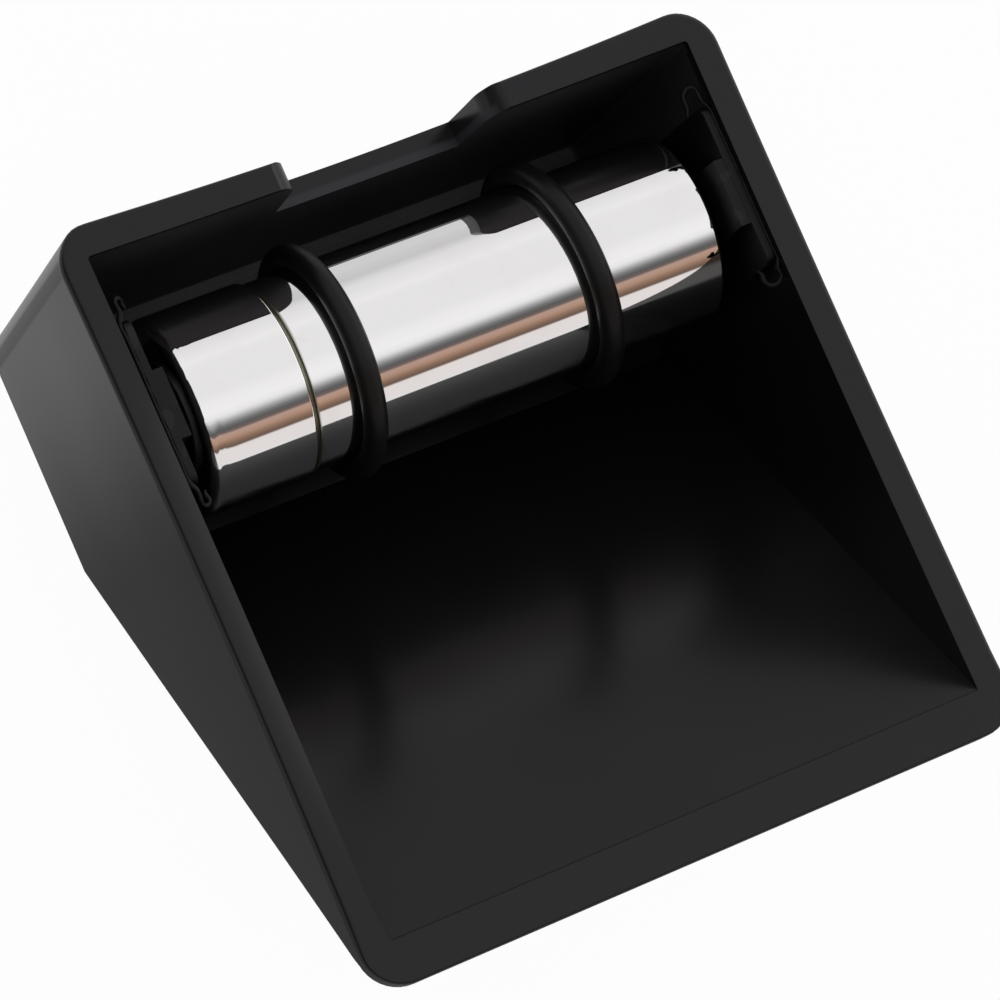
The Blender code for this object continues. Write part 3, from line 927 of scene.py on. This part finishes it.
# %% [markdown]
# ### Barrel and cap
# The roller is a drawn tube with one closed, round-edged end, and a cap that slips over its other end.
# The cap stands a hair proud of the barrel. In the narrow groove between them the barrel's shoulder
# shows, stained with grime. Both profiles have fine arcs at their edges, because on a mirror finish every
# coarse step would show.

# %% Barrel and cap profiles
BARREL = 6.80 * MM
CAP = 7.05 * MM
SPIGOT = 5.95 * MM
END_HOLE = 3.30 * MM
HOLE_EDGE = 0.25 * MM
BARREL_WALL = 1.1 * MM
THIN_WALL = 0.8 * MM
SPIGOT_LENGTH = 4.0 * MM
SEAM_WIDTH = 0.28 * MM
SEAM_GAP = 0.03 * MM
GROOVE_DEPTH = 0.32 * MM
CHROME_SEGMENTS = 192


def barrel_profile():
    shoulder = SEAM_X + SEAM_WIDTH
    bore = BARREL - BARREL_WALL
    spigot_bore = SPIGOT - THIN_WALL
    end_round = 0.3 * MM
    edge = 0.14 * MM
    return [
        (END_HOLE + HOLE_EDGE, RIGHT_END),
        *arc((BARREL - end_round, RIGHT_END - end_round), end_round, 90, 0, 16),
        (BARREL, 9.0 * MM),
        (BARREL, 0.0),
        *arc((BARREL - edge, shoulder + edge), edge, 0, -90, 5),
        (BARREL - GROOVE_DEPTH, shoulder),
        (BARREL - GROOVE_DEPTH, SEAM_X + SEAM_GAP),
        (SPIGOT, SEAM_X + SEAM_GAP),
        (SPIGOT, shoulder - SPIGOT_LENGTH),
        (spigot_bore, shoulder - SPIGOT_LENGTH),
        (spigot_bore, shoulder + BARREL_WALL),
        (bore, shoulder + 1.7 * MM),
        (bore, RIGHT_END - 1.2 * MM),
        (bore - 0.5 * MM, RIGHT_END - BARREL_WALL),
        (END_HOLE, RIGHT_END - BARREL_WALL),
        (END_HOLE, RIGHT_END - HOLE_EDGE),
    ]


def cap_profile():
    bore = CAP - THIN_WALL
    edge = 0.2 * MM
    end_round = 0.8 * MM
    return [
        (bore, SEAM_X - SEAM_GAP),
        *arc((CAP - edge, SEAM_X - edge), edge, 90, 0, 5),
        (CAP, SEAM_X - 4.0 * MM),
        *arc((CAP - end_round, LEFT_END + end_round), end_round, 0, -90, 14),
        (END_HOLE + HOLE_EDGE, LEFT_END),
        (END_HOLE, LEFT_END + HOLE_EDGE),
        (END_HOLE, LEFT_END + THIN_WALL),
        (bore, LEFT_END + THIN_WALL),
    ]


barrel_mesh = soft_shading(turn("barrel", barrel_profile(), BARREL, CHROME_SEGMENTS, roller_chrome))
cap_mesh = soft_shading(turn("end_cap", cap_profile(), CAP, CHROME_SEGMENTS, roller_chrome))
place_piece("barrel", barrel_mesh, "roller_barrel", "roller", roller_chrome)
place_piece("end_cap", cap_mesh, "roller_end_cap", "roller", roller_chrome)

# %% [markdown]
# ### Rings, bushes and axle
# The two rubber rings are stretched over the barrel, so they sit down on it and flatten very slightly.
# Nothing holds them square, and the right one has settled a little askew. A bush is pressed into each end
# of the roller, the left one with a collar, and the axle passes through both of them into the plates. All
# of them come from the same turning tree, and the rings use its unevenness.

# %% Rings
RING_SECTION = 0.85 * MM
RING_SEGMENTS = 160
RING_UNEVENNESS = 0.05 * MM
# Name, node, seed, how far it has slipped along the barrel, and degrees askew.
RINGS = (
    ("left_ring", "left_grip_ring", 3.0, 0.20 * MM, 0.0),
    ("right_ring", "right_grip_ring", 8.0, -0.25 * MM, -3.5),
)


def ring_profile(along):
    """A round section, slightly flattened where it presses on the barrel."""
    middle = BARREL + RING_SECTION * 0.97
    points = []
    for radius, place in arc((middle, along), RING_SECTION, 180, -180, 28)[:-1]:
        points.append((max(radius, BARREL + 0.01 * MM), place))
    return points


def set_askew(mesh, degrees):
    """Slide each point along the barrel by its place across it, so the ring stays down on the barrel."""
    for vertex in mesh.vertices:
        vertex.co.x += math.tan(math.radians(degrees)) * (vertex.co.y - AXIS_Y)


for ring_name, ring_node, ring_seed, slip, askew in RINGS:
    lowest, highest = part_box(ring_node)
    profile = ring_profile((lowest.x + highest.x) / 2 + slip)
    ring_mesh = turn(ring_name, profile, BARREL + RING_SECTION, RING_SEGMENTS, ring_rubber,
                     RING_UNEVENNESS, ring_seed)
    set_askew(ring_mesh, askew)
    ring_mesh.shade_smooth()
    place_piece(ring_name, ring_mesh, ring_node, "roller", ring_rubber)


# %% Bushes and axle
BUSH = 3.0 * MM
BUSH_BORE = 1.8 * MM
BUSH_LENGTH = 3.5 * MM
BUSH_EDGE = 0.1 * MM
COLLAR = 4.0 * MM
COLLAR_GAP = 0.3 * MM
AXLE = 1.5 * MM
AXLE_EDGE = 0.3 * MM
SMALL_SEGMENTS = 96


def right_bush_profile():
    """A plain bush, flush with the roller's right end."""
    foot = RIGHT_END - BUSH_LENGTH
    edge = BUSH_EDGE
    return [
        (BUSH_BORE + edge, RIGHT_END),
        *arc((BUSH - edge, RIGHT_END - edge), edge, 90, 0, 3),
        *arc((BUSH - edge, foot + edge), edge, 0, -90, 3),
        (BUSH_BORE + edge, foot),
        (BUSH_BORE, foot + edge),
        (BUSH_BORE, RIGHT_END - edge),
    ]


def left_bush_profile():
    """A bush with a collar that spaces the roller from the left plate."""
    foot = LEFT_END + BUSH_LENGTH
    collar_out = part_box("left_bush")[0].x
    collar_in = LEFT_END - COLLAR_GAP
    edge = BUSH_EDGE
    return [
        (BUSH_BORE + edge, foot),
        *arc((BUSH - edge, foot - edge), edge, 90, 0, 3),
        (BUSH, collar_in),
        *arc((COLLAR - edge, collar_in - edge), edge, 90, 0, 3),
        *arc((COLLAR - edge, collar_out + edge), edge, 0, -90, 3),
        (BUSH_BORE + edge, collar_out),
        (BUSH_BORE, collar_out + edge),
        (BUSH_BORE, foot - edge),
    ]


def axle_profile():
    low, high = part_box("axle")
    middle = AXLE - AXLE_EDGE
    return [
        (0.0, high.x),
        (middle, high.x),
        *arc((middle, high.x - AXLE_EDGE), AXLE_EDGE, 90, 0, 4),
        *arc((middle, low.x + AXLE_EDGE), AXLE_EDGE, 0, -90, 4),
        (0.0, low.x),
    ]


for side_name, profile in (("left", left_bush_profile()), ("right", right_bush_profile())):
    bush_node = side_name + "_bush"
    bush_name = bush_node + "_piece"
    bush_mesh = soft_shading(turn(bush_name, profile, BUSH, SMALL_SEGMENTS, bush_plastic))
    place_piece(bush_name, bush_mesh, bush_node, "roller", bush_plastic)
axle_mesh = soft_shading(turn("axle_rod", axle_profile(), AXLE, SMALL_SEGMENTS, axle_steel))
place_piece("axle_rod", axle_mesh, "axle", "tray", axle_steel)

# %% [markdown]
# ## Bearing plates
# A thin plate is bonded to each side wall and leans with it. A raised rib down its middle carries the
# axle hole. The plate and the rib are two pushed outlines joined together. Their sharp edges get a small
# round, and the hole for the axle is drilled last.

# %% Plates
PLATE_LENGTH = 11.8 * MM
PLATE_THICK = 0.55 * MM
PLATE_DROP = 0.6 * MM
PLATE_BELOW_AXIS = 4.8 * MM
PLATE_CORNER = 0.8 * MM
PLATE_HOLE = 1.8 * MM
PLATE_EDGE = 0.12 * MM
RIB_HEIGHT = 0.75 * MM
RIB_HALF = 2.45 * MM
RIB_SHIFT = -0.35 * MM
GLUE = 0.3 * MM
AXIS_DEPTH = RIM - AXIS_Z


def inner_wall_x(depth):
    return WIDTH / 2 - SIDE_WALL - depth * DRAFT


def make_plate(side):
    top = AXIS_DEPTH - PLATE_DROP
    outline = rounded_outline(PLATE_LENGTH / 2, -PLATE_BELOW_AXIS, top, PLATE_CORNER, 6, PLATE_LENGTH)
    middle = -side * RIB_SHIFT
    rib = [(middle + RIB_HALF, top - 0.05 * MM), (middle - RIB_HALF, top - 0.05 * MM)]
    rib += arc((middle, 0), RIB_HALF, 180, 360, 24)
    mesh = prism("plate", outline, "X", 0.0, PLATE_THICK)
    mesh = cut(mesh, prism("rib", rib, "X", PLATE_THICK / 2, PLATE_THICK + RIB_HEIGHT), "UNION")

    def sharp(edge):
        return edge.calc_face_angle(0.0) > math.radians(PIECE_CREASE)

    round_edges(mesh, sharp, PLATE_EDGE, 3)
    hole = arc((0, 0), PLATE_HOLE, 0, 360, 48)[:-1]
    mesh = cut(mesh, prism("hole", hole, "X", -2 * MM, 3 * MM))
    turn_side = Matrix.Identity(4) if side < 0 else Matrix.Rotation(math.pi, 4, "Z")
    lean = Matrix.Rotation(side * math.atan(DRAFT), 4, "Y")
    foot = Matrix.Translation((side * (inner_wall_x(AXIS_DEPTH) - GLUE), AXIS_Y, AXIS_Z))
    mesh.transform(foot @ lean @ turn_side)
    return soft_shading(mesh)


for side_name, side in (("left", -1), ("right", 1)):
    plate_node = side_name + "_bearing_plate"
    place_piece(side_name + "_plate", make_plate(side), plate_node, "tray", plate_plastic)

# %% [markdown]
# ## Squeezed-out adhesive
# When the plates were pressed on, black adhesive came out along their top edges and past their ends, and
# curled up before it set. Each curl starts as a thin line between the plate and the wall, thickens past
# the plate's end and turns back in a hook. A second Geometry Nodes tree carries a round section along
# that path, lets noise change the section's size, and tapers both ends to a blunt tip. Sculpting would
# also work, but the tree gives four curls that are all different from four sets of numbers.


# %% Tree for the adhesive
PATH_POINTS = 150
SECTION_POINTS = 20
TIP_SHARE = 0.14


def bead_tree():
    tree, keys = new_geometry_tree("adhesive_bead", (
        ("Radius", "NodeSocketFloat"),
        ("Thin share", "NodeSocketFloat"),
        ("Lumpiness", "NodeSocketFloat"),
        ("Wander", "NodeSocketFloat"),
        ("Seed", "NodeSocketFloat"),
        ("Finish", "NodeSocketMaterial"),
    ))
    start = tree.node("NodeGroupInput", output="Geometry")
    path = tree.node("GeometryNodeMeshToCurve", None, {"Mesh": start})
    smooth = tree.node("GeometryNodeCurveSplineType", {"spline_type": "CATMULL_ROM"}, {"Curve": path})
    even = tree.node("GeometryNodeResampleCurve", None, {"Curve": smooth, "Count": PATH_POINTS})
    place = tree.node("GeometryNodeInputPosition")
    share = tree.node("GeometryNodeSplineParameter", output="Factor")
    free = share.ramp(start.output("Thin share"), start.output("Thin share") + 0.12)
    wander = seeded_noise(tree, place, start.output("Seed"), 520.0, "Color")
    centred = tree.node("ShaderNodeVectorMath", {"operation": "SUBTRACT"}, {0: wander, 1: (0.5, 0.5, 0.5)})
    drift = tree.scale(centred, start.output("Wander") * free)
    bent = tree.node("GeometryNodeSetPosition", None, {"Geometry": even, "Offset": drift})
    from_end = 1.0 - (abs(share * 2.0 - 1.0) - (1.0 - TIP_SHARE)).most(0.0) / TIP_SHARE
    taper = (1.0 - (1.0 - from_end) * (1.0 - from_end)).most(0.0004) ** 0.5
    swell = seeded_noise(tree, place, start.output("Seed") + 7.0, 900.0)
    size = taper * (0.86 + 0.14 * free) * (1.0 + (swell - 0.5) * start.output("Lumpiness"))
    section = tree.node("GeometryNodeCurvePrimitiveCircle", None,
                        {"Resolution": SECTION_POINTS, "Radius": start.output("Radius")})
    tube = tree.node("GeometryNodeCurveToMesh", None,
                     {"Curve": bent, "Profile Curve": section, "Scale": size, "Fill Caps": True})
    lumps = seeded_noise(tree, place, start.output("Seed") + 3.0, 1300.0)
    push = tree.scale(tree.node("GeometryNodeInputNormal"), (lumps - 0.5) * start.output("Radius") * 0.4)
    lumpy = tree.node("GeometryNodeSetPosition", None, {"Geometry": tube, "Offset": push})
    end_geometry(tree, start, lumpy)
    return tree.data, keys


bead_nodes, bead_keys = bead_tree()
print("bead tree inputs", sorted(bead_keys))


# %% Curls of adhesive
BEAD = 0.18 * MM
# Name, side, end, length of the leg, radius of the hook, length of the tail, and seed.
CURLS = (
    ("left_upper", -1, 1, 1.2 * MM, 0.30 * MM, 0.5 * MM, 1.0),
    ("left_lower", -1, -1, 1.1 * MM, 0.38 * MM, 0.7 * MM, 3.5),
    ("right_upper", 1, 1, 1.0 * MM, 0.55 * MM, 1.3 * MM, 6.0),
    ("right_lower", 1, -1, 0.9 * MM, 0.50 * MM, 0.9 * MM, 8.5),
)


def bead_path(side, end, leg, hook, tail):
    """A line behind the plate's top edge, then out past its end, round and back."""
    depth = PLATE_DROP + 0.1 * MM
    glue_x = inner_wall_x(depth) - GLUE / 2
    leg_x = inner_wall_x(depth) - 0.42 * MM
    plate_end = PLATE_LENGTH / 2
    bend = plate_end + leg
    path = [(glue_x, plate_end * share) for share in (-0.05, 0.3, 0.55, 0.8, 0.97)]
    path += [(leg_x, plate_end + leg * 0.45)]
    path += arc((leg_x - hook, bend), hook, 0, 180, 8)
    path += [(leg_x - 2 * hook + 0.05 * MM, bend - tail * 0.5), (leg_x - 2 * hook - 0.1 * MM, bend - tail)]
    points = []
    for index, (x, along) in enumerate(path):
        sink = 0.06 * MM * max(0, index - 4)
        points.append((side * x, AXIS_Y + end * along, RIM - depth - sink))
    return points


def make_bead(name, path, seed):
    mesh = bpy.data.meshes.new(name)
    mesh.from_pydata(path, [(index, index + 1) for index in range(len(path) - 1)], [])
    made = run_tree(name, mesh, bead_nodes, bead_keys, {
        "Radius": BEAD,
        "Thin share": 0.50,
        "Lumpiness": 1.1,
        "Wander": 0.5 * MM,
        "Seed": seed,
        "Finish": adhesive,
    })
    edit_mesh(made, face_outward)
    made.shade_smooth()
    return made


for curl_name, side, end, leg, hook, tail, seed in CURLS:
    curl = make_bead(curl_name + "_curl", bead_path(side, end, leg, hook, tail), seed)
    place_piece(curl_name + "_curl", curl, curl_name + "_adhesive", "tray", adhesive)

# %% [markdown]
# ## Floor, light and camera
# The tool lies on a plain white floor inside a soft white tent. The tent is the world: a ramp round the
# roller's axis that is pale nearly everywhere, with one darker, warmer band part of the way up on the
# lip's side, as where a tent is open towards the room. Chrome needs that band, because a mirror in an
# even white room looks like grey paint. The tent is dimmer at its left end and brighter at its right end.
# For the camera the floor is mostly white by itself, and still keeps the tool's soft shadow. For
# reflections its glow is dimmed beside the tool, a painted shadow. The camera has a long lens and looks
# down from the left.


# %% Floor
FLOOR_HALF = 2.0
FLOOR_LEVEL = -0.0001
CAMERA_GLOW = 0.965
FAR_GLOW = 0.66
NEAR_GLOW = 0.19
END_GLOW = 0.38


def floor_finish():
    """White paper that glows for the camera, and more dimly for reflections, with a painted shadow beside
    the tool.
    """
    material, tree, place = new_finish("white_floor")
    x = axis_part(tree, place, "X")
    beside = (abs(x) - WIDTH / 2).most(0.0)
    beyond = (abs(x.output("Y")) - LENGTH / 2).most(0.0)
    away = ((beside * beside + beyond * beyond) ** 0.5).ramp(5 * MM, 45 * MM)
    ray = tree.node("ShaderNodeLightPath", output="Is Camera Ray")
    mirrored = ray.output("Is Glossy Ray").most(ray.output("Is Transmission Ray"))
    # Painted shadow: for reflections the glow is dimmest beside the lip and sides, and brighter towards the
    # deep end.
    mirrored_glow_with_painted_shadow = (FAR_GLOW * away).most(NEAR_GLOW + END_GLOW * x.output("Y").ramp(6 * MM, 26 * MM))
    seen = (ray * CAMERA_GLOW).most(mirrored)
    paper = tree.node("ShaderNodeBsdfDiffuse", None, {"Color": grey(0.86)})
    glow = tree.node("ShaderNodeEmission", None, {"Color": ray.most(mirrored_glow_with_painted_shadow), "Strength": 1.0})
    surface = tree.node("ShaderNodeMixShader", None, {0: seen, 1: paper, 2: glow})
    tree.node("ShaderNodeOutputMaterial", None, {"Surface": surface})
    return material


def make_floor():
    def build(shape):
        corners = ((-1, -1), (1, -1), (1, 1), (-1, 1))
        points = [(x * FLOOR_HALF, y * FLOOR_HALF, FLOOR_LEVEL) for x, y in corners]
        shape.faces.new([shape.verts.new(point) for point in points])
    mesh = mesh_from("floor", build)
    mesh.materials.append(floor_finish())
    floor = link("floor", mesh)
    print("floor", 2 * FLOOR_HALF, "m wide")


make_floor()

# %% Tent
# Degrees round the roller's axis, and the level or the colour of the light there.
TENT = (
    (0.0, 0.64), (14.0, 0.60), (25.0, 0.77), (47.0, 0.88), (56.0, 0.84), (88.0, 0.84),
    (100.0, 0.90), (109.0, 0.92), (115.0, 0.86), (118.5, 0.68), (122.0, 0.41), (126.0, 0.20),
    (130.0, 0.11), (134.0, (0.16, 0.12, 0.11)), (136.5, (0.48, 0.33, 0.27)), (141.0, (0.46, 0.29, 0.21)),
    (146.0, (0.29, 0.18, 0.125)), (150.0, (0.18, 0.115, 0.085)), (152.0, (0.16, 0.11, 0.09)),
    (154.0, (0.80, 0.75, 0.73)), (180.0, 0.78),
)
LEFT_LEVEL = 0.28
RIGHT_LEVEL = 1.55


def make_tent():
    world = bpy.data.worlds.new("tent")
    world.use_nodes = True
    world.node_tree.nodes.clear()
    tree = Tree(world.node_tree)
    towards = tree.node("ShaderNodeTexCoord", output="Generated")
    up = axis_part(tree, towards, "Z")
    angle = up.math("ARCTAN2", up, up.output("Y")) / math.pi
    stops = [(degrees / 180.0, level) for degrees, level in TENT]
    wall = tree.node("ShaderNodeValToRGB", {"stops": stops}, {"Fac": angle})
    ray = tree.node("ShaderNodeLightPath", output="Is Camera Ray")
    side = axis_part(tree, towards, "X")
    left = (1.0 - LEFT_LEVEL) * side.ramp(-0.90, -0.58)
    right = (RIGHT_LEVEL - 1.0) * side.ramp(0.46, 0.74)
    shaded = tree.scale(wall, LEFT_LEVEL + left + right)
    colour = tree.mix(ray, shaded, grey(1.0))
    light = tree.node("ShaderNodeBackground", None, {"Color": colour, "Strength": 1.0})
    tree.node("ShaderNodeOutputWorld", None, {"Surface": light})
    bpy.context.scene.world = world
    print("tent stops", len(stops))


make_tent()


# %% Camera
CAMERA_PLACE = Vector((-123.812, -33.489, 331.033)) * MM
# Degrees about X, Y and Z, from a camera that looks straight down with the deep end up.
CAMERA_TURN = (14.183, -17.270, -24.861)
LENS_LENGTH = 180.0
SENSOR_WIDTH = 36.0


def make_camera():
    data = bpy.data.cameras.new("camera")
    data.sensor_width = SENSOR_WIDTH
    data.lens = LENS_LENGTH
    data.clip_start = 0.01
    data.clip_end = 20.0
    camera = link("camera", data)
    turned = Euler([math.radians(angle) for angle in CAMERA_TURN])
    camera.matrix_world = Matrix.LocRotScale(CAMERA_PLACE, turned, None)
    bpy.context.scene.camera = camera
    print("camera", [round(value, 4) for value in camera.matrix_world.translation])


make_camera()
bpy.context.scene.view_settings.view_transform = "Standard"
